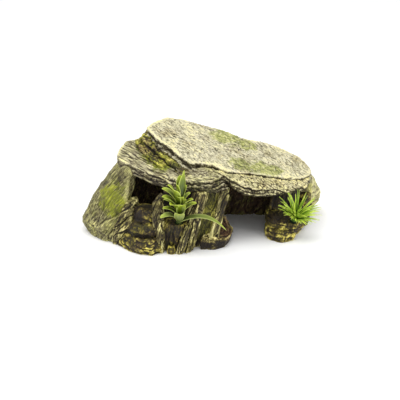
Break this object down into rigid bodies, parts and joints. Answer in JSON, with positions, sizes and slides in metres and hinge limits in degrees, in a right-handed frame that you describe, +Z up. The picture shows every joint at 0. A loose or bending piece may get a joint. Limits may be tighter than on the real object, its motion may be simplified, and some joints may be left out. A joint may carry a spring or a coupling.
{
  "type": "resin cave ornament",
  "caption": "Painted cast-resin rock cave for an aquarium: tilted roof slabs on stacked stones, an open-bottomed chamber with two mouths, and push-in plastic plants.",
  "frame": {"origin": "on the surface the ornament stands on, under the middle of its bounding box", "axes": "+X along the length towards the low end of the roof and the open cave mouth, +Y from the front to the back, +Z up"},
  "size_m": [0.1935, 0.1072, 0.0828],
  "materials": {
    "resin_roof": "cast resin, grey-beige paint with cream dry-brushed edges and olive washes",
    "resin_grey_brown": "cast resin, grey-brown paint with olive moss patches",
    "resin_dark_mossy": "cast resin, dark brown paint with yellow-green highlights",
    "resin_cave_wall": "cast resin, dark brown paint",
    "plastic_stem": "moulded plastic, dark green",
    "plastic_leaf": "soft moulded plastic, lime green",
    "plastic_grass": "soft moulded plastic, yellow-green"
  },
  "bodies": {
    "rockwork": {"roof_slab_upper": "resin_roof", "roof_slab_lower": "resin_roof", "ledge_slab": "resin_grey_brown", "left_boulder": "resin_grey_brown", "right_boulder": "resin_grey_brown", "packing_stone_upper": "resin_dark_mossy", "packing_stone_lower": "resin_dark_mossy", "left_buttress": "resin_dark_mossy", "step_stone_lower": "resin_dark_mossy", "step_stone_middle": "resin_dark_mossy", "step_stone_upper": "resin_dark_mossy", "edge_column": "resin_dark_mossy", "wide_column": "resin_dark_mossy", "ridge_column": "resin_dark_mossy", "backing_stone": "resin_dark_mossy", "socket_stone": "resin_dark_mossy", "rib_stone": "resin_dark_mossy", "blade_stone": "resin_dark_mossy", "toe_pebble": "resin_dark_mossy", "foot_dish_stone": "resin_dark_mossy", "lintel_lower": "resin_dark_mossy", "lintel_upper": "resin_dark_mossy", "right_foot_lower": "resin_dark_mossy", "right_foot_upper": "resin_dark_mossy", "right_post": "resin_dark_mossy", "right_side_stone": "resin_dark_mossy", "back_wall_right": "resin_cave_wall", "back_wall_centre": "resin_cave_wall", "back_wall_left": "resin_cave_wall"},
    "broadleaf_plant": {"broadleaf_stem": "plastic_stem", "leaf_whorl_1": "plastic_leaf", "leaf_whorl_2": "plastic_leaf", "leaf_whorl_3": "plastic_leaf", "leaf_whorl_4": "plastic_leaf", "leaf_whorl_5": "plastic_leaf"},
    "grass_plant": {"grass_plug": "plastic_stem", "grass_whorl_1": "plastic_grass", "grass_whorl_2": "plastic_grass", "grass_whorl_3": "plastic_grass"}
  },
  "joints": [
    {"name": "broadleaf_pull", "type": "slide", "parent": "rockwork", "child": "broadleaf_plant", "axis": [0.0595, -0.1189, 0.9911], "range_m": [0, 0.07]},
    {"name": "grass_pull", "type": "slide", "parent": "rockwork", "child": "grass_plant", "axis": [0.214, -0.4708, 0.8559], "range_m": [0, 0.05]}
  ]
}
